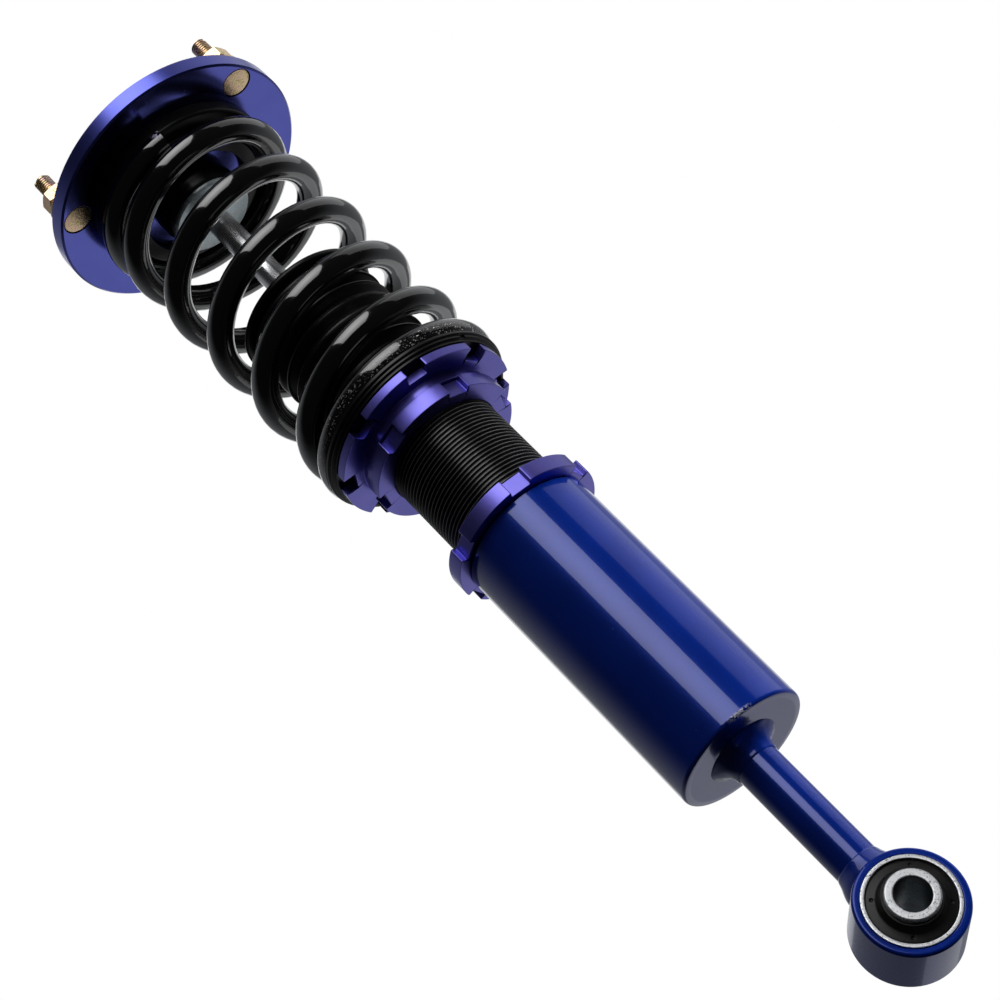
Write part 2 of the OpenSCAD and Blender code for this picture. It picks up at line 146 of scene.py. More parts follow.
def wound(name, section, rise, turns, steps, start=0.0, flats=None):
    """A closed section carried round the Z axis; rise(n) is its height in mm after n turns."""
    piece = outline(name, section)
    edit(piece)
    bpy.ops.mesh.select_all(action="SELECT")
    bpy.ops.transform.rotate(value=-math.radians(start), orient_axis="Z", center_override=(0, 0, 0))
    bpy.ops.transform.translate(value=(0, 0, rise(0) * MM))
    bpy.ops.mesh.edge_face_add()
    count = math.ceil(turns * steps)
    for i in range(count):
        climb = rise((i + 1) * turns / count) - rise(i * turns / count)
        bpy.ops.mesh.extrude_region_move(TRANSFORM_OT_translate={"value": (0, 0, climb * MM)})
        bpy.ops.transform.rotate(value=-2 * math.pi * turns / count, orient_axis="Z",
                                 center_override=(0, 0, 0))
    for height, up in flats or ():
        bpy.ops.mesh.select_all(action="SELECT")
        bpy.ops.mesh.bisect(plane_co=(0, 0, height * MM), plane_no=(0, 0, up), use_fill=True,
                            clear_outer=True)
    done(piece)
    return outward(piece)


def threaded(name, section, base, pitch, turns, steps):
    """A thread's ridge: a closed section carried up a screw of whole turns."""
    piece = outline(name, [(r, h + base) for r, h in section])
    applied(piece, "SCREW", axis="Z", angle=2 * math.pi, screw_offset=pitch * MM, iterations=turns,
            steps=steps, render_steps=steps, use_normal_calculate=False)
    edit(piece)
    bpy.ops.mesh.select_all(action="DESELECT")
    bpy.ops.mesh.select_non_manifold(extend=False, use_wire=False, use_boundary=True, use_multi_face=False,
                                     use_non_contiguous=False, use_verts=False)
    bpy.ops.mesh.fill_holes(sides=0)
    done(piece)
    return outward(piece)


def applied(piece, kind, **settings):
    hold(piece)
    change = piece.modifiers.new("work", kind)
    for name, value in settings.items():
        setattr(change, name, value)
    bpy.ops.object.modifier_apply(modifier=change.name)
    return piece


def softened(piece, width=0.4, segments=2, angle=32):
    return applied(piece, "BEVEL", width=width * MM, segments=segments, limit_method="ANGLE",
                   angle_limit=math.radians(angle), use_clamp_overlap=True, profile=0.5)


def smooth(piece, angle=32, flat=True):
    """Smooth shading that leaves broad faces flat between their bevels."""
    hold(piece)
    bpy.ops.object.shade_smooth_by_angle(angle=math.radians(angle))
    return applied(piece, "WEIGHTED_NORMAL", keep_sharp=True) if flat else piece


def block(size, place, turn=0.0):
    """A cutter: a box in mm, turned about Z."""
    fresh()
    bpy.ops.mesh.primitive_cube_add(size=1, location=(place[0] * MM, place[1] * MM, place[2] * MM))
    piece = bpy.context.object
    piece.scale = tuple(s * MM for s in size)
    settle(piece)
    return turn_about(piece, turn)


def drill(radius, low, high, place, turn=0.0, sides=48):
    """A cutter: a round bar in mm, turned about Z."""
    fresh()
    bpy.ops.mesh.primitive_cylinder_add(vertices=sides, radius=radius * MM, depth=(high - low) * MM,
                                        location=(place[0] * MM, place[1] * MM, (low + high) / 2 * MM))
    return turn_about(settle(bpy.context.object), turn)


def turn_about(piece, degrees):
    if degrees:
        piece.rotation_euler = (0, 0, math.radians(degrees))
        settle(piece)
    return piece


def joined(pieces, name=None):
    hold(pieces[0])
    for other in pieces[1:]:
        other.select_set(True)
    bpy.ops.object.join()
    whole = bpy.context.object
    if name:
        whole.name = name
    return whole


def cut(piece, cutters, operation="DIFFERENCE"):
    tool = joined(cutters) if len(cutters) > 1 else cutters[0]
    applied(piece, "BOOLEAN", object=tool, operation=operation, solver="EXACT")
    bpy.data.objects.remove(tool, do_unlink=True)
    return outward(piece)


def copy_of(piece, name, degrees):
    """A copy with its own mesh, turned about Z."""
    fresh()
    twin = piece.copy()
    twin.data = piece.data.copy()
    twin.name = name
    bpy.context.collection.objects.link(twin)
    return turn_about(twin, degrees)


# ---------------------------------------------------------------- materials
class Sock:
    """A socket in a shader, so that sums on it add Math nodes."""

    def __init__(self, shader, out):
        self.shader, self.out = shader, out

    def math(self, operation, *others):
        return self.shader.node("ShaderNodeMath", {"operation": operation}, self, *others)

    def __add__(self, other): return self.math("ADD", other)
    def __radd__(self, other): return self.math("ADD", other)
    def __mul__(self, other): return self.math("MULTIPLY", other)
    def __sub__(self, other): return self.math("SUBTRACT", other)
    def __pow__(self, other): return self.math("POWER", other)

    def __rsub__(self, other):
        return self.shader.node("ShaderNodeMath", {"operation": "SUBTRACT"}, other, self)

    def ramp(self, low, high):
        """0 below low, 1 above high."""
        return self.shader.node("ShaderNodeMapRange", {"clamp": True, "interpolation_type": "SMOOTHSTEP"},
                                self, low, high, 0.0, 1.0)


class Finish:
    """One material: its nodes come from node(), and its shader from surface()."""

    def __init__(self, name):
        self.material = bpy.data.materials.new(name)
        self.material.use_nodes = True
        self.tree = self.material.node_tree
        self.tree.nodes.clear()
        self.places = None

    def node(self, kind, settings=None, *values, out=0, **named):
        made = self.tree.nodes.new(kind)
        for name, value in (settings or {}).items():
            if name == "stops":
                ramp = made.color_ramp
                while len(ramp.elements) < len(value):
                    ramp.elements.new(1.0)
                for element, (at, colour) in zip(ramp.elements, value):
                    element.position, element.color = at, (*colour, 1.0)
            else:
                setattr(made, name, value)
        for key, value in list(enumerate(values)) + list(named.items()):
            if isinstance(key, str):
                key = key.replace("_", " ")
            self.feed(made.inputs[key], value)
        return Sock(self, made.outputs[out])

    def feed(self, socket, value):
        if isinstance(value, Sock):
            self.tree.links.new(value.out, socket)
        elif value is not None:
            if isinstance(value, tuple) and len(value) == 3 and socket.type == "RGBA":
                value = (*value, 1.0)
            socket.default_value = value

    def place(self):
        """The point on the piece, in mm."""
        if self.places is None:
            spot = self.node("ShaderNodeTexCoord", out="Object")
            self.places = self.node("ShaderNodeVectorMath", {"operation": "SCALE"}, spot, Scale=1000.0)
        return self.places

    def parts(self, vector):
        split = self.tree.nodes.new("ShaderNodeSeparateXYZ")
        self.tree.links.new(vector.out, split.inputs[0])
        return [Sock(self, o) for o in split.outputs]

    def vector(self, x, y, z):
        return self.node("ShaderNodeCombineXYZ", None, x, y, z)

    def around(self, axis="Z"):
        """(radius, height, angle) in mm and radians about the strut's or the eye's axis."""
        x, y, z = self.parts(self.place())
        if axis == "Y":
            y, z = z, y
        return (x * x + y * y) ** 0.5, z, self.node("ShaderNodeMath", {"operation": "ARCTAN2"}, y, x)

    def noise(self, vector, scale=1.0, detail=3.0, rough=0.5):
        return self.node("ShaderNodeTexNoise", {"noise_dimensions": "3D"}, vector, Scale=scale,
                         Detail=detail, Roughness=rough)

    def cells(self, scale, out="Distance"):
        """Cells over the piece: the distance to each one's middle, or its own colour."""
        return self.node("ShaderNodeTexVoronoi", {"feature": "F1"}, self.place(), Scale=scale,
                         Randomness=1.0, out=out)

    def away(self, spot):
        """The distance from a spot, in mm."""
        return self.node("ShaderNodeVectorMath", {"operation": "DISTANCE"}, self.place(), spot, out=1)

    def blend(self, amount, first, second):
        made = self.tree.nodes.new("ShaderNodeMix")
        made.data_type, made.blend_type = "RGBA", "MIX"
        for socket, value in ((made.inputs[0], amount), (made.inputs[6], first), (made.inputs[7], second)):
            self.feed(socket, value)
        return Sock(self, made.outputs[2])

    def shades(self, amount, *stops):
        return self.node("ShaderNodeValToRGB", {"stops": stops}, amount)

    def bump(self, height, depth, under=None):
        """Bump of a height that runs 0 to 1, with its depth in mm."""
        return self.node("ShaderNodeBump", None, Strength=1.0, Distance=depth * MM, Height=height,
                         Normal=under)

    def surface(self, **sockets):
        shader = self.tree.nodes.new("ShaderNodeBsdfPrincipled")
        for name, value in sockets.items():
            self.feed(shader.inputs[name.replace("_", " ")], value)
        end = self.tree.nodes.new("ShaderNodeOutputMaterial")
        self.tree.links.new(shader.outputs[0], end.inputs[0])
        return self.material


# places of single marks on the finished strut, in mm
DISC_CHIP = (0.7, -22.4, 91.6)
WIRE_END = (-8.8, -45.3, 470.5)


def violet_anodise(name="violet_anodise", shine=0.33, deep=(0.125, 0.112, 0.52), pale=(0.18, 0.16, 0.66),
                   rim=99.0):
    """Satin violet-blue anodised aluminium with turning marks and fine scuffs, duller past the rim."""
    f = Finish(name)
    r, h, a = f.around()
    marks = f.noise(f.vector(r, h, 0.0), 3.2, 4.0, 0.6)
    cloud = f.noise(f.place(), 0.045, 3.0)
    fine = f.noise(f.place(), 2.2, 2.0)
    colour = f.blend(cloud.ramp(0.3, 0.7) * 0.5 + (marks - 0.5) * 0.6 + 0.25, deep, pale)
    specks = f.cells(0.42).ramp(0.09, 0.05) * f.noise(f.place(), 0.2).ramp(0.52, 0.60)
    colour = f.blend(specks * 0.6, colour, (0.42, 0.42, 0.75))
    rough = shine + marks * 0.07 + fine * 0.04 + specks * 0.2 + r.ramp(rim - 0.4, rim) * 0.14
    skin = f.bump(marks, 0.006, f.bump(fine, 0.0035))
    return f.surface(Base_Color=colour, Metallic=1.0, Roughness=rough, Coat_Weight=0.5, Coat_Roughness=0.18,
                     Normal=skin)


def blue_paint(name="blue_paint", coat=1.0):
    """Gloss blue paint over a metallic ground, with orange peel and a little dust."""
    f = Finish(name)
    peel = f.noise(f.place(), 0.22, 2.0, 0.4)
    broad = f.noise(f.place(), 0.035, 2.0)
    fleck = f.noise(f.place(), 3.0, 2.0)
    colour = f.blend(broad.ramp(0.35, 0.65), (0.0012, 0.017, 0.20), (0.0016, 0.020, 0.23))
    colour = f.blend(fleck.ramp(0.5, 0.8) * 0.20, colour, (0.006, 0.04, 0.32))
    dust = f.cells(0.11).ramp(0.045, 0.02)
    colour = f.blend(dust * 0.35, colour, (0.10, 0.14, 0.40))
    # paint worn off the lower lip of the tube, and a dark chip in the disc beside it
    r, h, a = f.around()
    lip = h.ramp(93.6, 92.6) * r.ramp(28.2, 28.8) * a.ramp(-1.86, -1.74) * a.ramp(-1.42, -1.54)
    bare = lip * f.noise(f.place(), 1.1, 4.0, 0.7).ramp(0.46, 0.52)
    near = f.away(DISC_CHIP)
    hole = near.ramp(1.9, 1.3) * f.noise(f.place(), 0.9, 3.0).ramp(0.40, 0.46)
    colour = f.blend(hole, f.blend(bare, colour, (0.50, 0.50, 0.56)), (0.003, 0.003, 0.004))
    skin = f.bump(peel, 0.02, f.bump(fleck, 0.003, f.bump(bare + hole, 0.15)))
    return f.surface(Base_Color=colour, Metallic=0.35, Roughness=0.22 + fleck * 0.08 + bare * 0.3,
                     Specular_IOR_Level=0.15, Coat_Weight=(1.0 - dust * 0.5) * coat * (1 - hole) * (1 - bare),
                     Coat_Roughness=0.04, Coat_IOR=1.5, Normal=skin)


def black_gloss(name="black_gloss"):
    """Gloss black powder coat on the spring wire, with fine pits and rubbed flecks."""
    f = Finish(name)
    r, h, a = f.around()
    peel = f.noise(f.place(), 0.45, 3.0, 0.5)
    pits = f.cells(0.7)
    fine = f.noise(f.place(), 4.0, 3.0)
    # where the lowest turn rubs on its seat
    low = r.ramp(44.0, 46.0) * h.ramp(301.2, 302.0) * (1 - h.ramp(305.5, 307.0))
    chips = low * f.noise(f.vector(r * 0.9, h * 1.3, a * 38.0), 1.0, 4.0, 0.75).ramp(0.58, 0.66)
    colour = f.blend(chips, (0.0022, 0.0022, 0.0025), (0.42, 0.41, 0.40))
    # where the cut end of the wire is knocked
    near = f.away(WIRE_END)
    knock = near.ramp(4.4, 2.4) * f.noise(f.place(), 0.55, 3.0, 0.6).ramp(0.47, 0.53)
    colour = f.blend(knock, colour, (0.30, 0.29, 0.45))
    chips = chips + knock * 0.8
    rough = 0.08 + fine * 0.06 + chips * 0.35
    skin = f.bump(peel, 0.030, f.bump(pits, 0.008, f.bump(chips, 0.04)))
    return f.surface(Base_Color=colour, Roughness=rough, Specular_IOR_Level=0.55, Coat_Weight=1.0 - chips,
                     Coat_Roughness=0.04, Coat_IOR=1.7, Normal=skin)


def black_thread(name="black_thread", crest=26.5):
    """Blackened steel with a painted highlight on the crests of its thread: lighter and more metallic there."""
    f = Finish(name)
    r, h, a = f.around()
    bump_and_glint = f.noise(f.place(), 0.5, 4.0, 0.65)
    fine = f.noise(f.vector(r, h * 6.0, a * 8.0), 1.0, 3.0)
    # painted highlight: every crest of the thread is painted lighter and more metallic, unevenly along its
    # length
    painted_crest_glint = r.ramp(crest - 0.12, crest - 0.03) * (0.25 + bump_and_glint * 0.9)
    colour = f.blend(painted_crest_glint * 0.5, (0.004, 0.004, 0.0045), (0.26, 0.26, 0.26))
    return f.surface(Base_Color=colour, Metallic=painted_crest_glint * 0.6, Roughness=0.24 + fine * 0.12,
                     Specular_IOR_Level=0.4, Normal=f.bump(bump_and_glint, 0.02, f.bump(fine, 0.008)))


def yellow_zinc(name="yellow_zinc"):
    """Yellow zinc plate, with its drift from gold to pink and green."""
    f = Finish(name)
    drift = f.noise(f.place(), 0.30, 3.0, 0.6)
    grain = f.noise(f.place(), 0.85, 4.0, 0.75)
    colour = f.shades(drift * 0.55 + grain * 0.45, (0.34, (0.50, 0.46, 0.17)), (0.43, (0.80, 0.64, 0.30)),
                      (0.50, (0.98, 0.76, 0.48)), (0.57, (0.96, 0.60, 0.46)), (0.66, (0.86, 0.78, 0.46)))
    colour = f.blend(grain.ramp(0.44, 0.34) * 0.8, colour, (0.10, 0.07, 0.03))
    colour = f.blend(grain.ramp(0.60, 0.68) * 0.6, colour, (0.95, 0.80, 0.58))
    return f.surface(Base_Color=colour, Metallic=0.90, Roughness=0.17 + grain * 0.20,
                     Normal=f.bump(grain, 0.08, f.bump(drift, 0.02)))


def clear_zinc(name="clear_zinc"):
    """Clear zinc plate with its spangle."""
    f = Finish(name)
    flake = f.cells(0.55, "Color")
    hue = f.parts(flake)[0]
    grain = f.noise(f.place(), 1.6, 4.0, 0.65)
    colour = f.blend(hue, (0.58, 0.70, 0.74), (0.88, 0.95, 0.97))
    colour = f.blend(grain.ramp(0.52, 0.62) * 0.35, colour, (0.34, 0.43, 0.46))
    return f.surface(Base_Color=colour, Metallic=0.85, Roughness=0.26 + hue * 0.18 + grain * 0.08,
                     Normal=f.bump(grain, 0.02, f.bump(hue, 0.008)))


def polished_chrome(name="polished_chrome"):
    """Ground and chromed rod."""
    f = Finish(name)
    r, h, a = f.around()
    ground = f.noise(f.vector(r * 0.4, h * 9.0, a * 0.6), 1.0, 4.0, 0.7)
    streak = f.noise(f.vector(h * 0.02, r, a * 9.0), 1.0, 3.0)
    colour = f.blend(streak.ramp(0.35, 0.75), (0.74, 0.75, 0.77), (0.90, 0.91, 0.93))
    return f.surface(Base_Color=colour, Metallic=0.94, Roughness=0.14 + ground * 0.08 + streak * 0.05,
                     Normal=f.bump(ground, 0.003))


def bright_steel(name="bright_steel", axis="Z", bright=0.62, scale=1.0, bore=0.0, pitted=0.60):
    """Turned bare steel with tool marks and dents."""
    f = Finish(name)
    r, h, a = f.around(axis)
    marks = f.noise(f.vector(r * 1.4, h * 1.4, a * 0.5), 2.2 * scale, 4.0, 0.7)
    dents = f.noise(f.place(), 0.75 * scale, 4.0, 0.7)
    pits = dents.ramp(pitted, pitted + 0.1)
    colour = f.blend(marks, (bright * 0.72, bright * 0.74, bright * 0.77),
                     (bright * 1.15, bright * 1.16, bright * 1.18))
    colour = f.blend(pits * 0.75, colour, (0.07, 0.07, 0.08))
    if bore:
        # painted shade inside the bore: its wall is darkened to an uneven blue-black
        inside = 1 - r.ramp(bore + 0.02, bore + 0.3)
        bore_shade_tint = f.noise(f.vector(r * 0.4, h * 0.5, a * 0.8), 1.0, 3.0).ramp(0.35, 0.7)
        colour = f.blend(inside * 0.94, colour, f.blend(bore_shade_tint, (0.004, 0.010, 0.014), (0.02, 0.06, 0.08)))
    return f.surface(Base_Color=colour, Metallic=0.9, Roughness=0.30 + marks * 0.14 + pits * 0.2,
                     Normal=f.bump(marks, 0.02, f.bump(dents, 0.06)))


def black_rubber(name="black_rubber", shine=0.24, tint=(0.0022, 0.0022, 0.0025), axis="Z"):
    """Moulded black rubber with a faint bloom and mould rings."""
    f = Finish(name)
    r, h, a = f.around(axis)
    bloom = f.noise(f.place(), 0.09, 4.0, 0.6)
    grain = f.noise(f.place(), 1.9, 3.0, 0.6)
    rings = f.noise(f.vector(r * 1.2, h * 1.2, 0.0), 1.4, 2.0)
    light = tuple(c * 2.0 + 0.003 for c in tint)
    colour = f.blend(bloom.ramp(0.45, 0.8) * 0.7, tint, light)
    return f.surface(Base_Color=colour, Roughness=shine + grain * 0.12 + bloom * 0.08, Specular_IOR_Level=0.4,
                     Normal=f.bump(grain, 0.02, f.bump(rings, 0.02)))


def cast_grey(name="sintered_grey"):
    """Sintered iron with open pores."""
    f = Finish(name)
    pores = f.cells(1.6).ramp(0.30, 0.12)
    grain = f.noise(f.place(), 3.0, 4.0)
    colour = f.blend(grain, (0.15, 0.15, 0.16), (0.30, 0.30, 0.31))
    colour = f.blend(pores * 0.8, colour, (0.03, 0.03, 0.03))
    return f.surface(Base_Color=colour, Metallic=0.8, Roughness=0.45 + grain * 0.2,
                     Normal=f.bump(1 - pores, 0.04, f.bump(grain, 0.02)))


def turned_bronze(name="turned_bronze"):
    """Turned bronze with tool marks and tarnish."""
    f = Finish(name)
    r, h, a = f.around()
    marks = f.noise(f.vector(r * 2.0, h * 2.0, a * 0.3), 2.4, 4.0, 0.7)
    stain = f.noise(f.place(), 0.2, 3.0)
    colour = f.blend(marks, (0.40, 0.26, 0.10), (0.66, 0.47, 0.22))
    colour = f.blend(stain.ramp(0.5, 0.75) * 0.5, colour, (0.22, 0.12, 0.05))
    return f.surface(Base_Color=colour, Metallic=1.0, Roughness=0.28 + marks * 0.16,
                     Normal=f.bump(marks, 0.015))


def plain_aluminium(name="plain_aluminium"):
    """Turned bare aluminium with faint stains."""
    f = Finish(name)
    r, h, a = f.around()
    marks = f.noise(f.vector(r * 1.8, h * 1.8, a * 0.3), 2.2, 4.0, 0.7)
    stain = f.noise(f.place(), 0.12, 3.0)
    colour = f.blend(marks, (0.52, 0.53, 0.54), (0.74, 0.75, 0.76))
    colour = f.blend(stain.ramp(0.5, 0.8) * 0.3, colour, (0.36, 0.37, 0.39))
    return f.surface(Base_Color=colour, Metallic=1.0, Roughness=0.30 + marks * 0.16,
                     Normal=f.bump(marks, 0.015))


def filled_plastic(name, dark, light, scale=1.2, depth=0.03):
    """Moulded plastic or foam with a speckle of filler."""
    f = Finish(name)
    speck = f.cells(scale)
    cloud = f.noise(f.place(), 0.15, 4.0)
    colour = f.blend(speck.ramp(0.2, 0.7) * 0.6 + cloud * 0.4, dark, light)
    return f.surface(Base_Color=colour, Roughness=0.55 + speck * 0.2,
                     Normal=f.bump(speck, depth, f.bump(cloud, 0.05)))


violet = violet_anodise()
plate_violet = violet_anodise("plate_anodise", shine=0.12, deep=(0.085, 0.10, 0.50),
                              pale=(0.115, 0.13, 0.58), rim=61.9)
blue = blue_paint()
disc_blue = blue_paint("disc_paint", coat=0.70)
eye_blue = blue_paint("eye_paint", coat=0.50)
coil_black = black_gloss()
thread_black = black_thread()
gold = yellow_zinc()
spangled = clear_zinc()
chrome = polished_chrome()
steel = bright_steel()
eye_steel = bright_steel("eye_sleeve_steel", "Y", bright=0.86, scale=1.5, bore=EYE_BOLT_R, pitted=0.55)
rubber = black_rubber()
eye_rubber = black_rubber("eye_rubber", shine=0.34, tint=(0.0015, 0.0015, 0.0015), axis="Y")
seat_rubber = black_rubber("seat_rubber", shine=0.22, tint=(0.002, 0.002, 0.0022))
sintered = cast_grey()
bronze = turned_bronze()
aluminium = plain_aluminium()
brown_plastic = filled_plastic("filled_plastic", (0.03, 0.022, 0.014), (0.09, 0.07, 0.045))
foam = filled_plastic("bump_foam", (0.36, 0.24, 0.08), (0.60, 0.46, 0.20), scale=0.9, depth=0.12)

NODE_FINISH = {
    "mount_sleeve": steel, "rebound_stop": brown_plastic, "rebound_shims": steel, "piston": sintered,
    "piston_band": brown_plastic, "compression_shims": steel, "piston_nut": steel, "gland_nut": steel,
    "rod_guide": aluminium, "guide_bush": bronze, "rod_seal": rubber, "bump_stop": foam,
    "tube_end_cap": steel, "gas_plug": bronze, "floating_piston": aluminium, "floating_oring": rubber,
    "bracket_end_disc": disc_blue, "piston_rod": chrome,
}


def place_piece(piece, body, finish, slot, *nodes):
    """Gives a piece its material and body, and hides the nodes it stands for."""
    piece.data.materials.clear()
    piece.data.materials.append(finish)
    if body:
        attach(piece, body)
    if nodes:
        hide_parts(*nodes)
    return piece


# ---------------------------------------------------------------- stations, in mm
def low(node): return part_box(node)[0][2] / MM
def high(node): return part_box(node)[1][2] / MM
def reach(node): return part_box(node)[1][0] / MM


plate_low, plate_high, plate_r = low("upper_isolator") + 15.0, high("top_plate"), reach("top_plate")
spring_low, spring_high = low("coil_spring"), high("coil_spring")
boot_low, boot_high = low("dust_boot"), high("dust_boot")
tube_low, tube_high = low("bracket_tube"), high("bracket_tube")
body_low, body_high = low("damper_tube"), high("damper_tube")
wash_low, wash_high = low("lower_washer"), high("lower_washer")
bush_high = high("mount_bush")
ring_low, ring_high = low("bracket_lock_ring"), high("bracket_lock_ring")
lock_low, lock_high = low("perch_lock_ring"), high("perch_lock_ring")
perch_low, perch_high = low("perch_ring"), high("perch_ring")
seat_low = low("lower_isolator")
stud_high = high("stud_bolts")
hub_low = low("top_plate")


# ---------------------------------------------------------------- top mount
def make_top_plate():
    plate = turned("top_plate_turned", [
        (20, hub_low), (26.4, hub_low), (27, hub_low + 0.6), (27, plate_low), (plate_r - 0.9, plate_low),
        (plate_r, plate_low + 0.9), (plate_r, plate_high - 1.0), (plate_r - 1.0, plate_high),
        (15, plate_high), (15, plate_high - 3.1), (20, plate_high - 3.1)], 192)
    holes = []
    for turn in STUD_TURNS:
        holes.append(drill(4.1, plate_low - 2, plate_high + 2, (STUD_CIRCLE, 0), turn))
        holes.append(drill(7.5, plate_low - 2, plate_low + 3.2, (STUD_CIRCLE, 0), turn))
    cut(plate, holes[0::2])
    cut(plate, holes[1::2])
    softened(plate, 0.35, 2, 40)
    smooth(plate, 30)
    return place_piece(plate, "top_mount", plate_violet, "violet_anodised", "top_plate")


def shift(piece):
    """Moves a piece made on the axis out to the stud circle."""
    edit(piece)
    bpy.ops.mesh.select_all(action="SELECT")
    bpy.ops.transform.translate(value=(STUD_CIRCLE * MM, 0, 0))
    return done(piece)


def make_studs():
    head = turned("stud_1", [
        (0, plate_low + 0.2), (6.5, plate_low + 0.2), (7.1, plate_low + 0.45), (7.3, plate_low + 0.9),
        (7.3, plate_low + 3.2), (4.0, plate_low + 3.2), (4.0, plate_high + 1.0), (3.42, plate_high + 1.6),
        (3.42, stud_high - 0.6), (2.9, stud_high), (0, stud_high)], 48, closed=False)
    softened(head, 0.15, 2, 40)
    turns = math.floor((stud_high - plate_high - 2.0) / FINE_PITCH)
    thread = threaded("stud_thread", [(3.35, -0.58), (3.98, -0.10), (3.98, 0.10), (3.35, 0.58)],
                      plate_high + 1.3, FINE_PITCH, turns, 32)
    return smooth(shift(joined([head, thread], "stud_1")), 35)


def make_stud_washer():
    washer = turned("stud_washer_1", [(4.1, plate_high), (8, plate_high), (8, plate_high + 1.6),
                                      (4.1, plate_high + 1.6)], 64)
    softened(washer, 0.3, 2, 40)
    return smooth(shift(washer))


def make_lock_washer():
    base = plate_high + 1.6
    washer = wound("stud_spring_washer_1", [(4.15, 0.1), (6.85, 0.0), (6.85, 1.8), (4.15, 1.9)],
                   lambda n: base + 0.1 * n, 0.965, 60, 40)
    softened(washer, 0.15, 2, 50)
    return smooth(shift(washer))


def hexagon(name, flats, base, height):
    """A hexagonal bar from a height up, by its width over the flats."""
    fresh()
    bpy.ops.mesh.primitive_cylinder_add(vertices=6, radius=flats / 2 / math.cos(math.pi / 6) * MM,
                                        depth=height * MM, location=(0, 0, (base + height / 2) * MM))
    bar = settle(bpy.context.object)
    bar.name = name
    return bar


def make_stud_nut():
    base = plate_high + 3.6
    nut = hexagon("stud_nut_1", 13.0, base, 6.8)
    shape = turned("nut_chamfers", [
        (4.0, base - 0.01), (6.2, base - 0.01), (7.7, base + 0.85), (7.7, base + 5.95), (6.2, base + 6.81),
        (4.75, base + 6.81), (4.0, base + 6.1)], 72)
    cut(nut, [shape], "INTERSECT")
    softened(nut, 0.12, 2, 25)
    return smooth(shift(nut), 28)


def make_fasteners():
    kinds = ((make_studs(), "stud", "stud_bolts"),
             (make_stud_washer(), "stud_washer", "stud_flat_washers"),
             (make_lock_washer(), "stud_spring_washer", "stud_lock_washers"),
             (make_stud_nut(), "stud_nut", "stud_nuts"))
    for first, name, node in kinds:
        for i, turn in enumerate(STUD_TURNS):
            if i:
                piece = copy_of(first, f"{name}_{i + 1}", turn)
                place_piece(piece, "top_mount", gold, "yellow_zinc", node)
        turn_about(first, STUD_TURNS[0])
        place_piece(first, "top_mount", gold, "yellow_zinc", node)


def make_mount():
    bush = turned("mount_bush_moulded", [
        (8, wash_high), (17.2, wash_high), (18.4, wash_high + 0.8), (19.2, wash_high + 2.6),
        (19.4, wash_high + 5.4), (20, wash_high + 7.0), (20, plate_high - 3.1), (15, plate_high - 3.1),
        (15, bush_high), (8, bush_high)], 96)
    softened(bush, 0.8, 3, 20)
    place_piece(smooth(bush), "top_mount", rubber, "black_rubber", "mount_bush")
    washer = turned("lower_washer_pressed", [(6.02, wash_low), (18.8, wash_low), (19.5, wash_low + 0.7),
                                             (19.5, wash_high - 0.3), (19.2, wash_high), (6.02, wash_high)], 96)
    softened(washer, 0.3, 2, 40)
    place_piece(smooth(washer), "top_mount", spangled, "clear_zinc", "lower_washer")
    top = turned("upper_washer_pressed", [(5.05, bush_high), (17, bush_high), (17, bush_high + 2.5),
                                          (5.05, bush_high + 2.5)], 96)
    softened(top, 0.4, 2, 40)
    place_piece(smooth(top), "top_mount", spangled, "clear_zinc", "upper_washer")


def make_rod():
    top = bush_high + 18
    rod_low = low("piston_rod")
    rod = turned("piston_rod_ground", [
        (0, rod_low), (3.4, rod_low), (4, rod_low + 0.6), (4, low("rebound_stop")), (6, low("rebound_stop")),
        (6, wash_low), (5, wash_low), (5, bush_high + 1.0), (4.3, bush_high + 1.7), (4.3, top - 0.8),
        (3.6, top), (0, top)], 64, closed=False)
    # a flat-sided drive at the top, to hold the rod while its nut is turned
    cut(rod, [block((12, 4, 6), (0, 2.9 + 2, top - 0.5)), block((12, 4, 6), (0, -2.9 - 2, top - 0.5))])
    softened(rod, 0.15, 2, 40)
    thread = threaded("rod_thread", [(4.2, -0.6), (4.98, -0.10), (4.98, 0.10), (4.2, 0.6)],
                      bush_high + 1.7, FINE_PITCH, 9, 40)
    rod = joined([rod, thread], "piston_rod_ground")
    place_piece(smooth(rod, 35), "top_mount", chrome, "chrome", "piston_rod")
    base = bush_high + 2.5
    nut = hexagon("rod_nut_hex", 17.0, base, 8.4)
    shape = turned("rod_nut_chamfers", [(5.05, base - 0.01), (8.1, base - 0.01), (10.1, base + 1.15),
                                        (10.1, base + 6.9), (7.9, base + 8.3), (5.05, base + 8.39)], 72)
    cut(nut, [shape], "INTERSECT")
    softened(nut, 0.15, 2, 25)
    collar = turned("rod_nut_collar", [
        (5.05, base + 8.2), (7.8, base + 8.2), (7.8, base + 9.2), (7.0, base + 10.6), (5.05, base + 10.6)], 64)
    softened(collar, 0.3, 2, 30)
    nut = joined([nut, collar], "rod_nut_hex")
    place_piece(smooth(nut, 28), "top_mount", spangled, "clear_zinc", "rod_nut")


def make_upper_isolator():
    ring = turned("upper_isolator_moulded", [
        (27, spring_high - 8), (33.2, spring_high - 8), (34.4, spring_high - 6.6), (34.4, spring_high),
        (43.0, spring_high), (43.9, spring_high + 0.8), (43.9, plate_low), (27, plate_low)], 144)
    softened(ring, 0.5, 2, 40)
    return place_piece(smooth(ring), "top_mount", seat_rubber, "black_rubber", "upper_isolator")


# ---------------------------------------------------------------- coil spring
RAMP_LOW, RAMP_HIGH, TURNS, WIRE, COIL = 1.3, 1.38, 6.29, 6.0, 41.25
RISE = spring_high - spring_low - WIRE
PITCH = RISE / (TURNS - (RAMP_LOW + RAMP_HIGH) / 2)


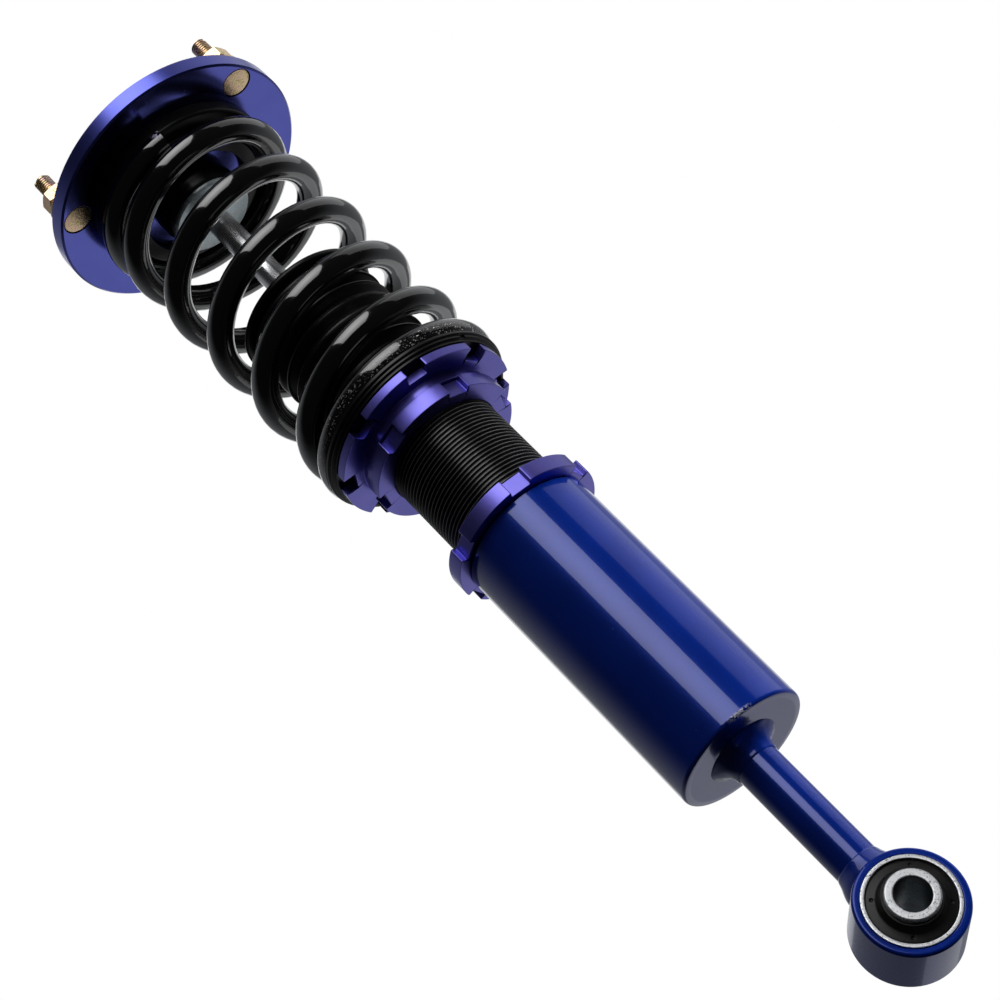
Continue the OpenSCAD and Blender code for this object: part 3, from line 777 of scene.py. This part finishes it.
def coil_height(n):
    climb = n * n / (2 * RAMP_LOW) if n < RAMP_LOW else n - RAMP_LOW / 2
    if TURNS - n < RAMP_HIGH:
        climb -= (n - TURNS + RAMP_HIGH) ** 2 / (2 * RAMP_HIGH)
    return spring_low + WIRE / 2 + PITCH * climb


def make_spring():
    section = [(COIL + WIRE * math.cos(2 * math.pi * k / 24), WIRE * math.sin(2 * math.pi * k / 24))
               for k in range(24)]
    spring = wound("coil_spring_wire", section, coil_height, TURNS, 60, 155,
                   [(spring_low, -1), (spring_high, 1)])
    smooth(spring, 40, flat=False)
    place_piece(spring, None, coil_black, "black_coat", "coil_spring")
    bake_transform(spring)
    return spring


# ---------------------------------------------------------------- perch and rings
def make_lower_isolator():
    base = seat_low
    ring = turned("lower_isolator_moulded", [
        (27.6, base), (43.9, base), (44.1, base + 0.2), (44.1, base + 1.2), (44.9, base + 1.5),
        (45.3, base + 1.7), (45.3, base + 2.6), (45.9, base + 2.9), (46.3, base + 3.2), (46.3, base + 4.4),
        (34.4, base + 4.4), (34.4, base + 10.4), (33.2, base + 11.6), (27.6, base + 11.6)], 144)
    cut(ring, [block((6, 3, 3.8), (47.5, 0, base + 0.9), -54)])
    softened(ring, 0.22, 2, 40)
    return place_piece(smooth(ring), "spring_seat", seat_rubber, "black_rubber", "lower_isolator")


def notched(ring, count, first, floor, width, base, top, corner=1.2):
    """Cuts spanner notches and rounds the corners where they meet the rim."""
    cutters = [block((20, width, top - base + 2), (floor + 10, 0, (base + top) / 2), first + i * 360 / count)
               for i in range(count)]
    cut(ring, cutters)
    rim = max(math.hypot(v.co.x, v.co.y) for v in ring.data.vertices) / MM
    edit(ring)
    pick_edges(ring, lambda a, b: abs(a.z - b.z) > 1.0 and (a.xy - b.xy).length < 0.05
               and math.hypot(a.x, a.y) > rim - 1.0 and beside_notch(a, count, first, width))
    bpy.ops.mesh.bevel(offset=corner * MM, segments=3, affect="EDGES", clamp_overlap=True)
    done(ring)
    return outward(ring)


def beside_notch(point, count, first, width):
    step = 360 / count
    angle = (math.degrees(math.atan2(point.y, point.x)) - first + step / 2) % step - step / 2
    return abs(math.hypot(point.x, point.y) * math.sin(math.radians(angle))) < width / 2 + 0.1


def make_lock_ring(name, base, top, first, body, node):
    ring = turned(name, [(BORE, base), (LOCK_RING_R, base), (LOCK_RING_R, top), (BORE, top)], 180)
    notched(ring, 6, first, LOCK_NOTCH_FLOOR, NOTCH_WIDTH, base, top)
    softened(ring, 0.45, 2, 40)
    return place_piece(smooth(ring, 30), body, violet, "violet_anodised", node)


def make_perch():
    flange = perch_high - 4.4
    ring = turned("perch_ring_turned", [
        (BORE, perch_low), (33.4, perch_low), (33.4, flange), (PERCH_R, flange),
        (PERCH_R, perch_high), (BORE, perch_high)], 192)
    cut(ring, [block((20, NOTCH_WIDTH, 5.6), (PERCH_NOTCH_FLOOR + 10, 0, flange + 2.2), -2 + i * 45)
               for i in range(8)])
    softened(ring, 0.4, 2, 40)
    return place_piece(smooth(ring, 30), "perch", violet, "violet_anodised", "perch_ring")


# ---------------------------------------------------------------- damper body
def make_body():
    core = turned("damper_body_threaded", [
        (22.5, body_low), (25.0, body_low), (25.4, body_low + 0.4), (25.4, body_high - 0.4), (25.0, body_high),
        (22.5, body_high)], 128)
    start, stop = body_low + 6, body_high - 4
    thread = threaded("body_thread", [
        (25.3, -0.74), (26.22, -0.30), (26.48, -0.13), (26.48, 0.13), (26.22, 0.30), (25.3, 0.74)],
        start, BODY_PITCH, int((stop - start) / BODY_PITCH), 96)
    body = joined([core, thread], "damper_body_threaded")
    smooth(body, 38)
    return place_piece(body, "damper_body", thread_black, "black_thread", "damper_tube")


def make_boot():
    folds, wall, crest, root = 7, 1.5, 31.2, 27.4
    first = boot_low + 7
    step = (boot_high - 3 - first) / folds
    outer = [(26.7, boot_low), (29.1, boot_low), (29.3, boot_low + 1.2), (29.1, boot_low + 5.6), (root, first)]
    inner = []
    for i in range(folds):
        outer += [(crest - 0.5, first + (i + 0.34) * step), (crest, first + (i + 0.5) * step),
                  (crest - 0.5, first + (i + 0.66) * step), (root, first + (i + 1) * step)]
        inner += [(crest - wall, first + (i + 0.5) * step), (root - wall, first + (i + 1) * step)]
    outer += [(32.3, boot_high - 2.8), (33, boot_high - 2.2), (33, boot_high - 0.7), (32.4, boot_high),
              (7.5, boot_high), (7.5, boot_high - 1.8), (root - wall, boot_high - 1.8)]
    inner = inner[:-1]
    boot = turned("dust_boot_moulded", outer + inner[::-1] + [(26.7, first - 0.4)], 112)
    softened(boot, 0.7, 2, 25)
    return place_piece(smooth(boot, 40), "damper_body", rubber, "black_rubber", "dust_boot")


# ---------------------------------------------------------------- bracket
def make_bracket():
    tube = turned("bracket_tube_painted", [
        (BORE, tube_low), (28.6, tube_low), (29.4, tube_low + 0.35), (29.85, tube_low + 0.9),
        (TUBE_R, tube_low + 1.8), (TUBE_R, tube_high - 0.5), (29.5, tube_high), (BORE, tube_high)], 160)
    place_piece(smooth(tube, 30), "bracket", blue, "blue_paint", "bracket_tube")

    bead = turned("disc_weld_bead", [
        (BEAD_R, tube_low - 9.0), (9.7, tube_low - 8.6), (9.9, tube_low - 7.0), (10.4, tube_low - 5.2),
        (11.4, tube_low - 3.5), (12.9, tube_low - 2.1), (14.6, tube_low - 1.0), (16.0, tube_low - 0.35),
        (16.6, tube_low + 0.1), (BEAD_R, tube_low + 0.1)], 96)
    lumpy(bead, 1.0, 8)
    applied(bead, "SUBSURF", levels=1, render_levels=1)
    place_piece(smooth(bead, 50), "bracket", blue, "blue_paint", "disc_weld")

    bar = turned("lower_bar_painted", [
        (0, 18.5), (BAR_R, 18.5), (BAR_R, tube_low + 0.1), (0, tube_low + 0.1)], 96, closed=False)
    place_piece(smooth(bar), "bracket", blue, "blue_paint", "lower_bar")

    collar = turned("eye_weld_bead", [
        (BEAD_R, 16.0), (12.7, 16.0), (12.7, 19.0), (12.0, 21.6), (10.9, 24.0), (10.1, 26.2), (9.7, 27.6),
        (BEAD_R, 28.4)], 96)
    lumpy(collar, 0.7, 7)
    applied(collar, "SUBSURF", levels=1, render_levels=1)
    place_piece(smooth(collar, 50), "bracket", blue, "blue_paint", "eye_weld")


def lumpy(bead, depth, size):
    """Gives a weld bead the slow lumps of a hand weld."""
    lumps = bpy.data.textures.new(bead.name, "CLOUDS")
    lumps.noise_scale, lumps.noise_depth = size * MM, 1
    return applied(bead, "DISPLACE", texture=lumps, texture_coords="LOCAL", strength=depth * MM, mid_level=0.5)


def make_eye():
    ring = turned("eye_ring_painted", [
        (EYE_RING_BORE, -13.5), (21.2, -13.5), (22.0, -12.7), (22.0, 12.7), (21.2, 13.5),
        (EYE_RING_BORE, 13.5)], 144, "Y")
    softened(ring, 0.6, 3, 30)
    place_piece(smooth(ring), "bracket", eye_blue, "blue_paint", "eye_ring")

    sleeve = turned("eye_outer_sleeve", [
        (EYE_RUBBER_R, -13.9), (EYE_RING_BORE, -13.9), (EYE_RING_BORE, 13.9), (EYE_RUBBER_R, 13.9)], 144, "Y")
    softened(sleeve, 0.3, 2, 30)
    place_piece(smooth(sleeve), "bracket", eye_steel, "bright_steel", "bush_outer_sleeve")

    rub = turned("eye_rubber_moulded", [
        (10.65, -16.5), (11.5, -16.5), (12.3, -15.6), (12.8, -14.2), (13.6, -13.5), (15.6, -13.2),
        (16.6, -12.9), (EYE_RUBBER_R, -12.2), (EYE_RUBBER_R, 12.2), (16.6, 12.9), (15.6, 13.2),
        (13.6, 13.5), (12.8, 14.2), (12.3, 15.6), (11.5, 16.5), (10.65, 16.5)], 128, "Y")
    # four moulding dimples in each face
    pins = []
    for side in (-1, 1):
        for k in range(4):
            fresh()
            a = math.radians(90 * k + DIMPLE_START)
            bpy.ops.mesh.primitive_uv_sphere_add(segments=20, ring_count=12, radius=DIMPLE_R * MM, location=(
                DIMPLE_CIRCLE * math.cos(a) * MM, side * 13.75 * MM, DIMPLE_CIRCLE * math.sin(a) * MM))
            pins.append(settle(bpy.context.object))
    cut(rub, pins)
    softened(rub, 0.25, 2, 35)
    place_piece(smooth(rub, 40), "bracket", eye_rubber, "black_rubber", "bush_rubber")

    inner = turned("eye_inner_sleeve", [
        (EYE_BOLT_R, -18.6), (7.5, -19.0), (10.1, -19.0), (10.6, -18.5), (10.6, 18.5), (10.1, 19.0),
        (7.5, 19.0), (EYE_BOLT_R, 18.6)], 112, "Y")
    softened(inner, 0.2, 2, 25)
    place_piece(smooth(inner), "bush_inner", eye_steel, "bright_steel", "bush_inner_sleeve")


# ---------------------------------------------------------------- build
make_top_plate()
make_fasteners()
make_mount()
make_rod()
make_upper_isolator()
make_spring()
make_lower_isolator()
make_perch()
make_lock_ring("perch_lock_ring_turned", lock_low, lock_high, -13, "perch_lock", "perch_lock_ring")
make_lock_ring("bracket_lock_ring_turned", ring_low, ring_high, -33, "bracket_lock", "bracket_lock_ring")
make_body()
make_boot()
make_bracket()
make_eye()

for node, finish in NODE_FINISH.items():
    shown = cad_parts[node]
    for slot in shown.material_slots:
        slot.material = finish


# ---------------------------------------------------------------- studio
FLOOR_HEIGHT, FLOOR_SIZE = -1.5, 60
EYE = Vector((-0.33933, -0.86511, -0.26703))
AHEAD = Vector((0.32115855, 0.815099, 0.48215227))
RIGHT = Vector((0.78456263, 0.05614204, -0.61750267))
DOWN = Vector((-0.53039482, 0.57659491, -0.62146572))
MIDDLE = Vector((0, 0, 0.245))
SENSOR_WIDTH, LENS_PER_WIDTH = 36.0, 2573.144 / 1000
# the room that the gloss sees is dim behind the camera and brighter ahead of it
ROOM_FROM, ROOM_TO, ROOM_DIM, ROOM_BRIGHT = -0.1, 0.6, 0.012, 0.24


def softbox(name, place, aim, size, power, spread=180):
    fresh()
    bpy.ops.object.light_add(type="AREA", location=place)
    lamp = bpy.context.object
    lamp.name = name
    lamp.data.shape = "RECTANGLE"
    lamp.data.size, lamp.data.size_y = size
    lamp.data.energy, lamp.data.spread = power, math.radians(spread)
    lamp.rotation_mode = "QUATERNION"
    lamp.rotation_quaternion = (Vector(aim) - Vector(place)).to_track_quat("-Z", "Y")
    return lamp


fresh()
bpy.ops.mesh.primitive_plane_add(size=FLOOR_SIZE, location=(0, 0, FLOOR_HEIGHT))
floor = settle(bpy.context.object)
floor.name = "studio_floor"
pale = Finish("studio_floor_paint")
tint = pale.noise(pale.place(), 0.004, 3.0)
floor.data.materials.append(pale.surface(
    Base_Color=pale.blend(tint, (0.80, 0.80, 0.81), (0.84, 0.84, 0.845)), Roughness=0.75,
    Emission_Color=(0.97, 0.98, 1.0), Emission_Strength=0.62))
# the gloss on the strut sees the lamps and the room, not the floor
floor.visible_glossy = floor.visible_diffuse = False

world = bpy.data.worlds.new("studio")
bpy.context.scene.world = world
world.use_nodes = True
sky = world.node_tree
sky.nodes.clear()
seen, back, room, split, out, facing, side, spread = (sky.nodes.new(k) for k in (
    "ShaderNodeLightPath", "ShaderNodeBackground", "ShaderNodeBackground", "ShaderNodeMixShader",
    "ShaderNodeOutputWorld", "ShaderNodeTexCoord", "ShaderNodeVectorMath", "ShaderNodeMapRange"))
side.operation = "DOT_PRODUCT"
side.inputs[1].default_value = AHEAD
spread.interpolation_type = "SMOOTHSTEP"
for socket, value in zip(spread.inputs[1:5], (ROOM_FROM, ROOM_TO, ROOM_DIM, ROOM_BRIGHT)):
    socket.default_value = value
room.inputs[0].default_value = (0.92, 0.95, 1.0, 1)
back.inputs[0].default_value, back.inputs[1].default_value = (1, 1, 1, 1), 1.0
sky.links.new(facing.outputs["Generated"], side.inputs[0])
sky.links.new(side.outputs["Value"], spread.inputs[0])
sky.links.new(spread.outputs[0], room.inputs[1])
sky.links.new(seen.outputs["Is Camera Ray"], split.inputs[0])
sky.links.new(room.outputs[0], split.inputs[1])
sky.links.new(back.outputs[0], split.inputs[2])
sky.links.new(split.outputs[0], out.inputs[0])


def round_about(azimuth, height, away=1.6):
    """A place seen from the strut's middle at an azimuth and a height in degrees."""
    flat, up = math.radians(azimuth), math.radians(height)
    return tuple(MIDDLE + away * Vector((
        math.cos(up) * math.cos(flat), math.cos(up) * math.sin(flat), math.sin(up))))


softbox("strip_left", round_about(-90.5, 33), MIDDLE, (1.05, 2.2), 6.2, 100)
softbox("box_right", round_about(-12.5, 29), MIDDLE, (1.65, 1.5), 2.8)
key = softbox("key_right", round_about(-20, 4, 1.8), MIDDLE, (0.9, 0.9), 8, 60)
key.visible_glossy = False
box_back = softbox("box_back", round_about(68.5, 29), MIDDLE, (1.5, 1.5), 4)
box_back.visible_camera = False
low_back = softbox("low_back", (0.72, 1.83, -0.84), MIDDLE, (1.7, 1.5), 3.0)
low_back.visible_camera = False

fresh()
bpy.ops.object.camera_add(location=EYE)
camera = bpy.context.object
camera.name = "camera"
camera.data.sensor_width = SENSOR_WIDTH
camera.data.lens = LENS_PER_WIDTH * SENSOR_WIDTH
camera.data.clip_start, camera.data.clip_end = 0.05, 60
camera.rotation_mode = "QUATERNION"
camera.rotation_quaternion = Matrix((RIGHT, -DOWN, -AHEAD)).transposed().to_quaternion()
bpy.context.scene.camera = camera
bpy.context.scene.view_settings.view_transform = "Standard"
